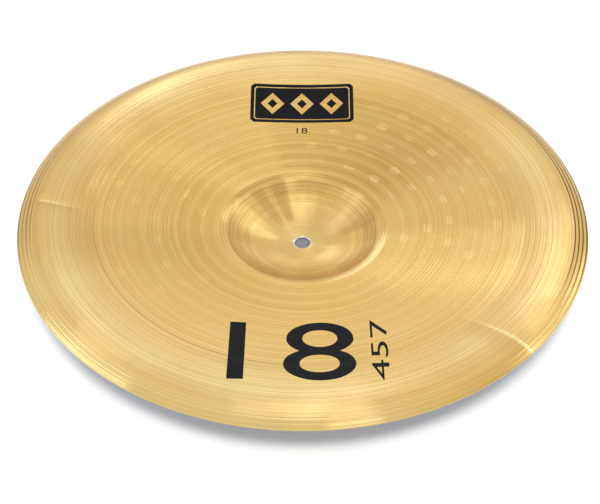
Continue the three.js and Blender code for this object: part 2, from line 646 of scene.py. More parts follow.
class Spinner:
    """The Geometry Nodes tree that spins the section to a sheet and hammers it."""

    GUIDE = 0.1
    LIGHTEST_DENT = 0.3
    SWELL_SCALE = 9.0
    SWELL_START, SWELL_FULL = 0.03, 0.09
    SAME_RADIUS = 2e-6

    def __init__(self, name: str, marks: HammerMarks) -> None:
        """Builds the tree under a name, for a pattern of hammer marks.

        Args:
            name: the tree's name.
            marks: the pattern of hammer marks.
        """
        self.tree = bpy.data.node_groups.new(name, "GeometryNodeTree")
        declare(self.tree, Section=SHAPE_IN, Turn_Steps=WHOLE, Mark_Depth=NUMBER)
        declare(self.tree, Waviness=NUMBER, Brass=FINISH)
        marks.declare(self.tree)
        declare(self.tree, Sheet=SHAPE_OUT)
        self.desk = Desk(self.tree)
        self.wire()

    def wire(self) -> None:
        """Wires the tree from the section to the finished sheet."""
        desk = self.desk
        given = desk.inputs()
        line = desk.place("GeometryNodeMeshToCurve", {"Mesh": given["Section"]}).outputs["Curve"]
        feeds = {"Resolution": given["Turn Steps"], "Radius": self.GUIDE}
        ring = desk.place("GeometryNodeCurvePrimitiveCircle", feeds).outputs["Curve"]
        spun = desk.place("GeometryNodeCurveToMesh", {"Curve": ring, "Profile Curve": line})
        drop = desk.place("ShaderNodeCombineXYZ", {"Z": desk.times(self.drop(given), -1.0)})
        feeds = {"Geometry": spun.outputs["Mesh"], "Offset": drop.outputs["Vector"]}
        beaten = desk.place("GeometryNodeSetPosition", feeds).outputs["Geometry"]
        smooth = desk.place("GeometryNodeSetShadeSmooth", {"Geometry": beaten}).outputs["Geometry"]
        marked = self.mark_lines(smooth)
        real = desk.place("GeometryNodeRealizeInstances", {"Geometry": marked}).outputs["Geometry"]
        feeds = {"Geometry": real, "Material": given["Brass"]}
        dressed = desk.place("GeometryNodeSetMaterial", feeds).outputs["Geometry"]
        desk.place("NodeGroupOutput", {"Sheet": dressed})

    def drop(self, given: Sockets) -> Socket:
        """How far each point sinks, from the hammer marks and the sheet's waviness.

        Args:
            given: the tree's inputs, by name.

        Returns:
            The output that holds the drop, in metres.
        """
        desk = self.desk
        place = desk.place("GeometryNodeInputPosition").outputs["Position"]
        far, weight, radius = HammerMarks.wire(desk, given, place)
        heft = desk.scaled(weight, 1 - self.LIGHTEST_DENT, self.LIGHTEST_DENT)
        dent = desk.times(desk.fade(far, 0.0, 1.0), heft, given["Mark Depth"])
        swell = desk.noise(desk.flat(place), self.SWELL_SCALE, detail=1.0)
        grown = desk.ease(radius, self.SWELL_START, self.SWELL_FULL)
        return desk.calc("ADD", dent, desk.times(swell, given["Waviness"], grown))

    def mark_lines(self, mesh: Socket) -> Socket:
        """Keeps the turned lines crisp: the edges round the axis between sharp points.

        Args:
            mesh: the spun mesh.

        Returns:
            The mesh with those edges marked.
        """
        desk = self.desk
        sharp = desk.place("GeometryNodeInputNamedAttribute", {"Name": "sharp"}, data_type="FLOAT")
        edge = desk.place("GeometryNodeInputMeshEdgeVertices").outputs
        ends, reach = [], []
        for end in ("1", "2"):
            feeds = {0: sharp.outputs["Attribute"], "Index": edge[f"Vertex Index {end}"]}
            found = desk.place("GeometryNodeFieldAtIndex", feeds, data_type="FLOAT", domain="POINT")
            ends.append(found.outputs[0])
            reach.append(desk.vector("LENGTH", desk.flat(edge[f"Position {end}"])))
        level = desk.calc("COMPARE", *reach, self.SAME_RADIUS)
        crisp = desk.calc("GREATER_THAN", desk.times(*ends, level), 0.5)
        feeds = {"Geometry": mesh, "Name": "sharp_edge", "Value": crisp}
        kind = {"data_type": "BOOLEAN", "domain": "EDGE"}
        return desk.place("GeometryNodeStoreNamedAttribute", feeds, **kind).outputs["Geometry"]

    def fit(self, obj: bpy.types.Object, **values: Feed) -> None:
        """Puts the tree on an object and sets its inputs by their identifiers.

        Args:
            obj: the object that holds the section.
            values: each input's value, by name, with _ for a space.
        """
        modifier = obj.modifiers.new(self.tree.name, "NODES")
        modifier.node_group = self.tree
        items = self.tree.interface.items_tree
        sockets = {item.name: item.identifier for item in items if item.in_out == "INPUT"}
        for name, value in spaced(values).items():
            modifier[sockets[name]] = value


def settle(obj: bpy.types.Object) -> None:
    """Turns an object's modifiers into a plain mesh and removes them.

    Args:
        obj: the object.
    """
    graph = bpy.context.evaluated_depsgraph_get()
    mesh = bpy.data.meshes.new_from_object(obj.evaluated_get(graph), depsgraph=graph)
    obj.modifiers.clear()
    obj.data = mesh
    mesh.name = obj.name


def put_in_scene(data: bpy.types.ID, name: str) -> bpy.types.Object:
    """Makes an object and links it to the scene.

    Args:
        data: its mesh, text, lamp or camera.
        name: its name.

    Returns:
        The object.
    """
    obj = bpy.data.objects.new(name, data)
    bpy.context.scene.collection.objects.link(obj)
    return obj


# Finishes


class SurfaceGroup:
    """A shader node group that gives values over the surface from Object coordinates."""

    name = ""

    def __init__(self) -> None:
        """Builds the group."""
        self.tree = bpy.data.node_groups.new(self.name, "ShaderNodeTree")
        declare(self.tree, Place=POINT)
        self.wire(Desk(self.tree))

    def wire(self, desk: Desk) -> None:
        raise NotImplementedError

    def place(self, desk: Desk, values: dict[str, float]) -> Sockets:
        """Places the group in a material.

        Args:
            desk: the desk of the material.
            values: the group's inputs, by name.

        Returns:
            The group's outputs, by name.
        """
        here = desk.place("ShaderNodeTexCoord").outputs["Object"]
        node = desk.place("ShaderNodeGroup", None, node_tree=self.tree)
        for name, value in {"Place": here, **values}.items():
            desk.feed(node.inputs[name], value)
        return {socket.name: socket for socket in node.outputs}


class FineTurning(SurfaceGroup):
    """What the turning tool leaves between the cut grooves: fine lines round the axis."""

    name = "fine_turning"
    PITCH, FINE_PITCH, BAND_PITCH = 0.0011, 0.00035, 0.006
    LINE_EDGE = (0.35, 0.65)
    PATCH_SCALE = 14.0
    PATCH_EDGE = (0.3, 0.7)
    FAINTEST, STRONGEST = 0.5, 1.2

    def wire(self, desk: Desk) -> None:
        """Lines of two widths, stronger in some places than in others.

        Args:
            desk: the desk of the group's tree.
        """
        declare(self.tree, Pitch=NUMBER, Depth=NUMBER, Fine_Pitch=NUMBER, Fine_Depth=NUMBER)
        declare(self.tree, Height=NUMBER_OUT, Line=NUMBER_OUT, Band=NUMBER_OUT, Radius=NUMBER_OUT)
        given = desk.inputs()
        flat = desk.flat(given["Place"])
        radius = desk.vector("LENGTH", flat)
        lines = []
        pitches = ((given["Pitch"], 1.5), (given["Fine Pitch"], 2.0), (self.BAND_PITCH, 2.0))
        for pitch, detail in pitches:
            feeds = {"W": desk.calc("DIVIDE", radius, pitch), "Scale": 1.0, "Detail": detail}
            lines.append(desk.place("ShaderNodeTexNoise", feeds, noise_dimensions="1D").outputs[0])
        patch = desk.noise(flat, self.PATCH_SCALE, detail=2.0)
        strength = desk.ease(patch, *self.PATCH_EDGE, self.FAINTEST, self.STRONGEST)
        height = desk.scaled(lines[0], given["Depth"], desk.times(lines[1], given["Fine Depth"]))
        feeds = {
            "Height": desk.times(height, strength),
            "Line": desk.times(desk.fade(lines[0], *self.LINE_EDGE), strength),
            "Band": desk.ease(lines[2], *self.LINE_EDGE),
            "Radius": radius,
        }
        desk.place("NodeGroupOutput", feeds)

    def cut(self, desk: Desk, depth: float, fine_depth: float) -> Sockets:
        """Places the group in a material, with its depths in metres."""
        feeds = {"Pitch": self.PITCH, "Fine Pitch": self.FINE_PITCH}
        return self.place(desk, {**feeds, "Depth": depth, "Fine Depth": fine_depth})


class HammerFaces(SurfaceGroup):
    """The flat faces that the hammer left, as a mask."""

    name = "hammer_faces"
    EDGE = (0.4, 0.95)
    LIGHTEST, HEAVY = 0.2, 0.9
    CREASE = (0.160, 0.172)
    FLANGE_SHARE = 0.35

    def wire(self, desk: Desk) -> None:
        """The pattern of the sheet's shape, with sharper edges and fainter on the flange.

        Args:
            desk: the desk of the group's tree.
        """
        HammerMarks().declare(self.tree)
        declare(self.tree, Mask=NUMBER_OUT)
        given = desk.inputs()
        far, weight, radius = HammerMarks.wire(desk, given, given["Place"])
        heft = desk.ease(weight, 0.0, self.HEAVY, self.LIGHTEST, 1.0)
        inward = desk.ease(radius, *self.CREASE, 1.0, self.FLANGE_SHARE)
        mask = desk.times(desk.fade(far, *self.EDGE), heft, inward)
        desk.place("NodeGroupOutput", {"Mask": mask})


class SideMask(SurfaceGroup):
    """How far a point lies on one side of the axis, from 0 to 1."""

    name = "side_mask"

    def wire(self, desk: Desk) -> None:
        """Compares the point's direction with the side's, by the cosine between them.

        Args:
            desk: the desk of the group's tree.
        """
        declare(self.tree, Side=POINT, Near=NUMBER, Far=NUMBER, Mask=NUMBER_OUT)
        given = desk.inputs()
        way = desk.vector("NORMALIZE", desk.flat(given["Place"]))
        cosine = desk.vector("DOT_PRODUCT", way, given["Side"])
        desk.place("NodeGroupOutput", {"Mask": desk.ease(cosine, given["Far"], given["Near"])})


def new_material(name: str) -> tuple[bpy.types.Material, Desk]:
    """Makes an empty material.

    Args:
        name: the material's name.

    Returns:
        The material and the desk of its tree.
    """
    material = bpy.data.materials.new(name)
    material.use_nodes = True
    material.node_tree.nodes.clear()
    return material, Desk(material.node_tree)


@dataclass(frozen=True)
class Side:
    """A mask for one side: azimuth, near and far angle, its share, and what is left all round."""

    way: tuple[float, float, float]
    share: float
    least: float


@dataclass(frozen=True)
class Spot:
    """What a finish knows of a point: its place, its distance from the axis and its side."""

    desk: Desk
    here: Socket
    radius: Socket
    sides: SideMask

    def toward(self, azimuth: float, near: float, far: float) -> Socket:
        """A mask for one side of the axis.

        Args:
            azimuth: the side's direction, in degrees.
            near: the angle from it, in degrees, up to which the mask is 1.
            far: the angle from which it is 0.

        Returns:
            The output that holds the mask.
        """
        turn = math.radians(azimuth)
        side = (math.cos(turn), math.sin(turn), 0.0)
        limits = {"Near": math.cos(math.radians(near)), "Far": math.cos(math.radians(far))}
        return self.sides.place(self.desk, {"Side": side, **limits})["Mask"]

    def strongest(self, sides: tuple[Side, ...]) -> Feed:
        """The strongest of some masks for sides."""
        desk = self.desk
        return desk.most(*(desk.scaled(self.toward(*s.way), s.share, s.least) for s in sides))

    def ring(self, *edges: float) -> Feed:
        """A mask for a ring.

        Args:
            edges: where it starts, is full, starts to go and is gone, in millimetres outwards.

        Returns:
            The output that holds the mask.
        """
        start, full, last, end = (edge * MM for edge in edges)
        going = self.desk.fade(self.radius, last, end)
        return self.desk.times(self.desk.ease(self.radius, start, full), going)


@dataclass(frozen=True)
class Zone:
    """Part of a ring with a painted highlight or painted shade, on the side of the axis where a lit
    or dark fan of the turned face falls.

    It is fullest up to the near angle from its azimuth and gone from the far angle, in degrees.
    Outwards it comes in from start to full and goes from last to end, in millimetres from the axis.
    """

    tone: Colour
    share: float
    azimuth: float
    near: float
    far: float
    start: float
    full: float
    last: float
    end: float

    def mask(self, spot: Spot) -> Feed:
        """How much of the tone there is at a point, from 0 to the zone's share."""
        ring = spot.ring(self.start, self.full, self.last, self.end)
        return spot.desk.times(ring, spot.toward(self.azimuth, self.near, self.far), self.share)


@dataclass(frozen=True)
class GlintStreak:
    """A straight painted glint, a bright streak where a lamp's edge is mirrored, in millimetres.

    Its painted sheen is on the left side of its way in plan, or else on the right side, with
    painted shade on the other side.
    """

    start: tuple[float, float]
    end: tuple[float, float]
    half_width: float
    sheen_width: float
    sheen_left: bool

    CORE = 0.3
    LINE_START, LINE_END = (0.0, 0.6), (0.97, 1.0)
    SHEEN_START, SHEEN_END = (-0.4, 0.5), (1.0, 1.1)
    SHEEN_EDGE = 0.0006
    SHEEN_FULL = 0.1

    def masks(self, spot: Spot) -> tuple[Feed, Feed]:
        """Lays the painted glint and its painted sheen and shade on the surface.

        Args:
            spot: the point.

        Returns:
            The outputs that hold the glint's mask and the sheen, which is above 0 on the side of
            painted highlight and below 0 on the side of painted shade.
        """
        desk = spot.desk
        run = Vector((*self.end, 0.0)) - Vector((*self.start, 0.0))
        way = run.normalized()
        left = 1 if self.sheen_left else -1
        apart = desk.vector("SUBTRACT", spot.here, (self.start[0] * MM, self.start[1] * MM, 0.0))
        along = desk.calc("DIVIDE", desk.vector("DOT_PRODUCT", apart, tuple(way)), run.length * MM)
        across = desk.vector("DOT_PRODUCT", apart, (-way.y * left, way.x * left, 0.0))
        ends = desk.times(desk.ease(along, *self.LINE_START), desk.fade(along, *self.LINE_END))
        half, wide = self.half_width * MM, self.sheen_width * MM
        thin = desk.fade(desk.calc("ABSOLUTE", across), half * self.CORE, half)
        side = desk.ease(across, 0.0, self.SHEEN_EDGE)
        bright = desk.times(side, desk.fade(across, self.SHEEN_FULL * wide, wide))
        dark = desk.times(desk.ease(across, -wide, 0.0), desk.calc("SUBTRACT", 1.0, side))
        spread = desk.times(desk.ease(along, *self.SHEEN_START), desk.fade(along, *self.SHEEN_END))
        return desk.times(thin, ends), desk.times(desk.calc("SUBTRACT", bright, dark), spread)


# The two dark tones paint shade in the groove bottoms, on the dark fans and beside the glints. The
# light tones paint highlights on the lit fans and glints, and also lighten the hammer faces and
# turned bands.
SOFT_SHADE: Colour = (0.387, 0.215, 0.049)
DARK_SHADE: Colour = (0.157, 0.081, 0.016)
BRIGHT: Colour = (0.848, 0.609, 0.238)
PALE: Colour = (0.922, 0.788, 0.362)
ROSE: Colour = (0.793, 0.52, 0.222)
GOLD: Colour = (0.922, 0.717, 0.263)


@dataclass(frozen=True)
class TurnedBrass:
    """Bright turned sheet brass under clear lacquer, smoother in the bell.

    The tones are the brass's colour at distances from the axis, in millimetres, with some rings
    lighter or darker for how they are lit: painted light and shade.  The edges are where something
    changes over a short way outwards, in metres.
    """

    # Some stops are lighter or darker for how their ring is lit: painted light and shade.
    tones: tuple[tuple[float, Colour], ...] = (
        (7.5, (0.62, 0.61, 0.6)),
        (8.1, (0.686, 0.481, 0.171)),
        (18.0, (0.676, 0.465, 0.157)),
        (38.0, (0.694, 0.457, 0.145)),
        (50.0, (0.863, 0.565, 0.172)),
        (62.0, (0.712, 0.471, 0.145)),
        (90.0, (0.609, 0.402, 0.111)),
        (166.0, (0.68, 0.47, 0.156)),
        (170.0, (0.65, 0.46, 0.161)),
        (176.0, (0.655, 0.461, 0.164)),
        (198.0, (0.93, 0.763, 0.363)),
        (219.0, (0.711, 0.501, 0.178)),
        (226.0, (0.548, 0.378, 0.122)),
    )
    # Each zone paints a highlight or a shade on one side of a ring, where a lit or dark fan of the
    # turned face falls. The pale, bright, gold and rose zones are painted highlights, and the dark
    # ones are painted shade.
    zones: tuple[Zone, ...] = (
        Zone(GOLD, 0.75, 275, 45, 85, 38, 46, 62.5, 67),
        Zone(PALE, 0.9, 318, 16, 40, 63, 65, 68.5, 71.5),
        Zone(SOFT_SHADE, 0.55, 90, 55, 85, 63, 64, 66.5, 68.5),
        Zone(DARK_SHADE, 0.2, 93, 18, 30, 49, 52.5, 58.5, 62),
        Zone(DARK_SHADE, 0.2, 180, 7, 14, 36, 45, 60, 64),
        Zone(SOFT_SHADE, 0.34, 110, 5, 8, 24, 30, 60, 64),
        Zone(SOFT_SHADE, 0.34, 129, 4, 7, 24, 30, 60, 64),
        Zone(SOFT_SHADE, 0.36, 17, 5, 10, 30, 37, 61, 65),
        Zone(SOFT_SHADE, 0.34, 1, 9, 16, 47, 51, 58, 62),
        Zone(ROSE, 0.4, 40, 14, 21, 24, 30, 58, 63),
        Zone(SOFT_SHADE, 0.42, 64, 36, 43, 70, 74, 160, 168),
        Zone(BRIGHT, 0.38, 342, 38, 60, 70, 74, 160, 168),
        Zone(SOFT_SHADE, 0.34, 176, 13, 32, 164, 172, 232, 234),
        Zone(SOFT_SHADE, 0.28, 48, 6, 17, 170, 178, 232, 234),
        Zone(PALE, 0.35, 104, 16, 34, 180, 190, 214, 220),
        Zone(SOFT_SHADE, 0.55, 90, 50, 74, 212, 219, 232, 234),
        Zone(PALE, 0.4, 245, 42, 62, 214, 220, 232, 234),
        Zone(SOFT_SHADE, 0.2, 50, 22, 40, 60, 66, 168, 174),
    )
    warm: Colour = (0.701, 0.412, 0.099)
    roughness: float = 0.16
    mark_roughness: float = 0.40
    glint_roughness: float = 0.26
    bell_roughness: float = 0.19
    anisotropy: float = 0.97
    rotation: float = 0.25
    coat: float = 0.12
    coat_roughness: float = 0.16
    line_depth: float = 28e-6
    fine_line_depth: float = 10e-6
    mark_size: float = 0.85
    mark_share: float = 0.95
    # Sides where the hammer faces get a painted highlight.
    glinting_mark_sides: tuple[Side, ...] = (Side((37, 38, 70), 0.9, 0.06), Side((185, 25, 50), 0.35, 0))
    stain_edge: tuple[float, float] = (0.02, 0.14)
    groove_shaded_share: float = 0.15
    side_edge: tuple[float, float] = (-0.1, 0.1)
    # Sides where the grooves of the rim and the crease get most painted shade.
    shaded_rim_sides: tuple[Side, ...] = (Side((105, 75, 100), 0.48, 0.06), Side((20, 30, 58), 1, 0))
    shaded_crease_sides: tuple[Side, ...] = (Side((225, 25, 52), 0.4, 0.08),)
    rim_edge: tuple[float, float] = (0.2125, 0.2135)
    crease_ring: tuple[float, float, float, float] = (166.5, 167.5, 178, 179)
    sheen_share: float = 0.55
    sheen_shade: float = 0.3
    patch_scale: float = 6.0
    patch_edge: tuple[float, float] = (0.4, 0.7)
    patch_share: float = 0.4
    band_share: float = 0.3
    line_share: float = 0.6
    line_break: float = 0.75
    bell_share: float = 0.1
    bell_edge: tuple[float, float] = (0.058, 0.070)
    smooth_edge: tuple[float, float] = (0.060, 0.067)
    groove_edge: tuple[float, float] = (0.062, 0.068)
    reach: float = 230.0
    # Painted glints: bright streaks where lamp edges are mirrored, each with painted sheen on one
    # side and painted shade on the other.
    scuffs: tuple[GlintStreak, ...] = (
        GlintStreak((121.2, -122.1), (168.1, -154.6), 2.4, 28.0, True),
        GlintStreak((-178.8, -1.5), (-213.6, 7.5), 1.7, 14.0, False),
    )
    name: str = "lathed_brass_finish"

    def make(
        self, turning: FineTurning, faces: HammerFaces, sides: SideMask, marks: HammerMarks
    ) -> bpy.types.Material:
        """Builds the material.

        Args:
            turning: the group of fine turned lines.
            faces: the group of the hammer's faces.
            sides: the group that tells one side of the axis from another.
            marks: the pattern of the hammer marks.

        Returns:
            The material.
        """
        material, desk = new_material(self.name)
        fine = turning.cut(desk, self.line_depth, self.fine_line_depth)
        place = desk.place("ShaderNodeTexCoord").outputs
        spot = Spot(desk, place["Object"], fine["Radius"], sides)
        # The painted shade in the groove bottoms, carried from the section.
        stain = desk.place("ShaderNodeAttribute", None, attribute_name="stain").outputs["Fac"]
        worn = replace(marks, half_width=marks.half_width * self.mark_size)
        mark = faces.place(desk, worn.inputs())["Mask"]
        unshaded = desk.ease(stain, *self.stain_edge, 1.0, self.groove_shaded_share)
        # The hammer faces are lighter and rougher, most on two sides: partly their own faces,
        # partly a painted highlight where they catch the light.
        bars = desk.times(mark, unshaded, spot.strongest(self.glinting_mark_sides))
        upward = desk.place("ShaderNodeSeparateXYZ", {0: place["Normal"]}).outputs["Z"]
        inside = desk.ease(upward, *self.side_edge)
        # The painted glints, and the painted sheen and shade beside them, on the inside face only.
        scuffs, sheen = (desk.times(mask, inside) for mask in self.streaked(spot, fine["Line"]))
        lined = desk.ease(spot.radius, *self.bell_edge, self.bell_share, 1.0)
        patches = desk.noise(spot.here, self.patch_scale, detail=3.0)
        soil, brown = self.soil(spot)
        # Ring tones, partly painted light and shade.
        plain = self.tone(spot)
        # Painted highlights and painted shade of the fans, on the inside face only.
        painted_fans = desk.layered(plain, [(zone.tone, zone.mask(spot)) for zone in self.zones])
        layers = [
            (painted_fans, inside),
            # Painted sheen and painted shade beside the glints.
            (BRIGHT, desk.ease(sheen, 0.0, 1.0, 0.0, self.sheen_share)),
            (SOFT_SHADE, desk.ease(sheen, -1.0, 0.0, self.sheen_shade, 0.0)),
            (self.warm, desk.ease(patches, *self.patch_edge, 0.0, self.patch_share)),
            (BRIGHT, desk.times(fine["Band"], lined, self.band_share)),
            (self.warm, desk.times(fine["Line"], lined, self.line_share)),
            # Painted shade in the groove bottoms, more on some sides.
            (desk.blend(SOFT_SHADE, DARK_SHADE, brown), desk.times(stain, soil)),
            # Painted highlight on the hammer faces, partly their own lighter colour.
            (BRIGHT, desk.times(bars, self.mark_share)),
            # Painted glint streaks.
            (PALE, scuffs),
        ]
        tangent = desk.place("ShaderNodeTangent", None, direction_type="RADIAL", axis="Z")
        rough = desk.ease(spot.radius, *self.smooth_edge, self.bell_roughness, self.roughness)
        rough = desk.scaled(bars, self.mark_roughness - self.roughness, rough)
        desk.finish(
            Base_Color=desk.layered(plain, layers),
            Metallic=1.0,
            Roughness=desk.scaled(scuffs, self.glint_roughness - self.roughness, rough),
            Anisotropic=self.anisotropy,
            Anisotropic_Rotation=self.rotation,
            Coat_Weight=self.coat,
            Coat_Roughness=self.coat_roughness,
            Tangent=tangent.outputs["Tangent"],
            Normal=desk.bump(desk.times(fine["Height"], desk.ease(spot.radius, *self.groove_edge))),
        )
        return material

    def tone(self, spot: Spot) -> Socket:
        """The brass's colour at a distance from the axis, with some rings' painted light and shade.

        Args:
            spot: the point.

        Returns:
            The output that holds the colour.
        """
        share = spot.desk.calc("DIVIDE", spot.radius, self.reach * MM)
        ramp = spot.desk.place("ShaderNodeValToRGB", {"Fac": share})
        stops = ramp.color_ramp.elements
        for index, (where, tone) in enumerate(self.tones):
            stop = stops[index] if index < 2 else stops.new(1.0)  # a new ramp has two
            stop.position = where / self.reach
            stop.color = (*tone, 1.0)
        return ramp.outputs["Color"]

    def streaked(self, spot: Spot, line: Feed) -> tuple[Feed, Feed]:
        """Lays all painted glints, broken by the turned lines.

        Args:
            spot: the point.
            line: the output that holds how deep in a turned line the point is.

        Returns:
            The outputs that hold the glints' mask and their painted sheen and shade.
        """
        desk = spot.desk
        broken = desk.scaled(desk.calc("MINIMUM", line, 1.0), -self.line_break, 1.0)
        lines, sheens = zip(*(streak.masks(spot) for streak in self.scuffs))
        return desk.times(desk.most(*lines), broken), desk.chain("ADD", *sheens)

    def soil(self, spot: Spot) -> tuple[Feed, Feed]:
        """How much painted shade the groove bottoms get: the rim's on one side most, the crease's
        on the other.

        Args:
            spot: the point.

        Returns:
            The outputs that hold how much painted shade a groove gets, and whether it is one of the
            browner ones.
        """
        desk = spot.desk
        at_rim = desk.ease(spot.radius, *self.rim_edge)
        at_crease = spot.ring(*self.crease_ring)
        brown = desk.most(at_rim, at_crease)
        mixed = desk.calc("SUBTRACT", 1.0, brown)
        mixed = desk.scaled(spot.strongest(self.shaded_rim_sides), at_rim, mixed)
        return desk.scaled(spot.strongest(self.shaded_crease_sides), at_crease, mixed), brown


# Sub-assemblies


@dataclass
class SpunSheet:
    """The cymbal itself: one sheet, spun, hammered and turned on both faces."""

    sizes: SheetSizes = SheetSizes()
    turning: Turning = Turning()
    marks: HammerMarks = HammerMarks()
    mark_depth: float = 0.06
    waviness: float = 0.12
    turn_steps: int = 324
    cap_steps: int = 4
    name: str = "cymbal_sheet"

    def section(self) -> list[tuple[np.ndarray, Cut]]:
        """The closed section in millimetres, as x from the axis and y over the ground.

        Returns:
            The points in order round the section, each with the cut that made it.
        """
        face = SmoothFace(self.sizes)
        hole, chamfer = self.sizes.hole_diameter / 2, self.sizes.hole_chamfer
        top = self.sizes.bell_thickness
        plain, crisp = Cut(0.0), Cut(0.0, sharp=True)
        corners = ((hole + chamfer, 0.0), (hole, chamfer), (hole, top - chamfer))
        points = [(np.array(corner), crisp) for corner in corners]
        inside = self.turning.cuts(Face.INSIDE, face.rim_radius)
        outside = self.turning.cuts(Face.OUTSIDE, face.rim_radius)
        points += [(face.inside(cut.radius, cut.depth), cut) for cut in inside]
        rim_in, rim_out = points[-1][0], face.outside(face.rim_radius, 0.0)
        points += [(point, plain) for point in self.rim_edge(rim_in, rim_out)]
        points += [(face.outside(cut.radius, cut.depth), cut) for cut in reversed(outside[1:])]
        return points

    def rim_edge(self, start: np.ndarray, end: np.ndarray) -> list[np.ndarray]:
        """Points round the rounded edge of the rim, between its two faces.

        Args:
            start: where the inside face ends.
            end: where the outside face ends.

        Returns:
            The points between them, in order.
        """
        middle, spoke = (start + end) / 2, (start - end) / 2
        turns = (-math.pi * step / self.cap_steps for step in range(1, self.cap_steps))
        square = np.array([-spoke[1], spoke[0]])
        return [middle + spoke * math.cos(turn) + square * math.sin(turn) for turn in turns]

    def build(self, brass: bpy.types.Material) -> bpy.types.Object:
        """Spins and hammers the sheet.

        Args:
            brass: its finish.

        Returns:
            The finished object.
        """
        section = self.section()
        guide = Spinner.GUIDE
        count = len(section)
        log.info("section of %d points, %d triangles", count, count * self.turn_steps * 2)
        mesh = bpy.data.meshes.new(self.name)
        verts = [(point[0] * MM - guide, -point[1] * MM, 0.0) for point, _ in section]
        mesh.from_pydata(verts, [(i, (i + 1) % count) for i in range(count)], [])
        for name in ("sharp", "stain"):
            mark = mesh.attributes.new(name, "FLOAT", "POINT")
            mark.data.foreach_set("value", [float(getattr(cut, name)) for _, cut in section])
        obj = put_in_scene(mesh, self.name)
        spinner = Spinner("spin_and_hammer", self.marks)
        values = {"Mark_Depth": self.mark_depth * MM, "Waviness": self.waviness * MM}
        spinner.fit(obj, Turn_Steps=self.turn_steps, Brass=brass, **values, **self.marks.inputs())
        settle(obj)
        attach(obj, BODY)
        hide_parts(NODE)
        return obj


@dataclass(frozen=True)
class BlackInk:
    """Satin black ink, thin enough for the turned lines to show through."""

    ink: Colour = (0.0045, 0.005, 0.0065)
    worn: Colour = (0.012, 0.0115, 0.011)
    wear: tuple[float, float] = (0.6, 0.1)
    roughness: float = 0.4
    extra_roughness: float = 0.15
    shine: float = 0.09
    line_depth: float = 16e-6
    fine_line_depth: float = 5e-6
    name: str = "black_ink"

    def make(self, turning: FineTurning) -> bpy.types.Material:
        """Builds the material over the group of fine turned lines.

        Args:
            turning: the group of fine turned lines.

        Returns:
            The material.
        """
        material, desk = new_material(self.name)
        fine = turning.cut(desk, self.line_depth, self.fine_line_depth)
        worn = desk.times(fine["Band"], desk.scaled(fine["Line"], *self.wear))
        desk.finish(
            Base_Color=desk.blend(self.ink, self.worn, worn),
            Roughness=desk.scaled(fine["Band"], self.extra_roughness, self.roughness),
            Specular_IOR_Level=self.shine,
            Normal=desk.bump(fine["Height"]),
        )
        return material


Outline = list[np.ndarray]
Point = tuple[float, float]
Corners = tuple[int, ...]


@dataclass(frozen=True)
class Numerals:
    """A plain number, set in the program's own plain letter and made bold, in millimetres."""

    text: str
    centre: tuple[float, float]
    width: float
    height: float
    boldness: float = 0.085
    turn: float = 0.0

    def outlines(self) -> list[Outline]:
        """The closed outlines of the number, in place.

        Returns:
            The outlines.
        """
        letters = bpy.data.curves.new("letters", "FONT")
        letters.body, letters.fill_mode, letters.resolution_u = self.text, "NONE", 8
        letters.offset = self.boldness
        obj = put_in_scene(letters, "letters")
        graph = bpy.context.evaluated_depsgraph_get()
        mesh = bpy.data.meshes.new_from_object(obj.evaluated_get(graph))
        points = np.array([vertex.co[:2] for vertex in mesh.vertices])
        after: dict[int, list[int]] = {}
        for one, other in (tuple(edge.vertices) for edge in mesh.edges):
            after.setdefault(one, []).append(other)
            after.setdefault(other, []).append(one)
        bpy.data.objects.remove(obj)
        bpy.data.meshes.remove(mesh)
        low, high = points.min(0), points.max(0)
        points = (points - (low + high) / 2) / (high - low) * [self.width, self.height]
        cosine, sine = math.cos(math.radians(self.turn)), math.sin(math.radians(self.turn))
        points = points @ np.array([[cosine, sine], [-sine, cosine]]) + self.centre
        return [[points[i] for i in loop] for loop in self.loops(after)]

    @staticmethod
    def loops(after: dict[int, list[int]]) -> list[list[int]]:
        """Follows the edges round each outline.

        Args:
            after: the neighbours of each point.

        Returns:
            The points of each outline, in order.
        """
        left, found = set(after), []
        while left:
            loop = [left.pop()]
            while step := [i for i in after[loop[-1]] if i in left]:
                loop.append(step[0])
                left.discard(step[0])
            found.append(loop)
        return found


@dataclass(frozen=True)
class DiamondBlock:
    """A solid block with a thin line inside its edge and a row of open diamonds, in millimetres."""

    centre: tuple[float, float]
    width: float
    height: float
    corner: float = 3.0
    inner_corner: float = 1.8
    line_inset: float = 3.2
    line_width: float = 0.9
    diamonds: int = 3
    diamond_width: float = 21.0
    diamond_height: float = 25.0
    heart_share: float = 0.42

    def box(self, inset: float) -> Outline:
        """The block's outline with cut corners, drawn in by an inset.

        Args:
            inset: how far it is drawn in.

        Returns:
            The outline.
        """
        half_x, half_y = self.width / 2 - inset, self.height / 2 - inset
        cut = self.inner_corner if inset else self.corner
        corners = ((half_x - cut, half_y), (half_x, half_y - cut))
        signs = ((1, 1, 1), (1, -1, -1), (-1, -1, 1), (-1, 1, -1))
        points = []
        for x, y, order in signs:
            points += [np.array([cx * x, cy * y]) for cx, cy in corners[::order]]
        return [point + self.centre for point in points]

    def diamond(self, middle: float, share: float) -> Outline:
        """A diamond round a middle on the block's long axis.

        Args:
            middle: how far its middle is from the block's.
            share: its size, where 1 is full size.

        Returns:
            The diamond's outline.
        """
        half_x, half_y = self.diamond_width / 2 * share, self.diamond_height / 2 * share
        points = ((half_x, 0), (0, half_y), (-half_x, 0), (0, -half_y))
        return [np.array([middle + x, y]) + self.centre for x, y in points]

    def outlines(self) -> list[Outline]:
        """The closed outlines: what lies inside an odd number of them is ink.

        Returns:
            The outlines.
        """
        insets = (0.0, self.line_inset, self.line_inset + self.line_width)
        found = [self.box(inset) for inset in insets]
        pitch = (self.width - 4 * self.line_inset) / self.diamonds
        for index in range(self.diamonds):
            middle = (index - (self.diamonds - 1) / 2) * pitch
            found += [self.diamond(middle, 1.0), self.diamond(middle, self.heart_share)]
        return found


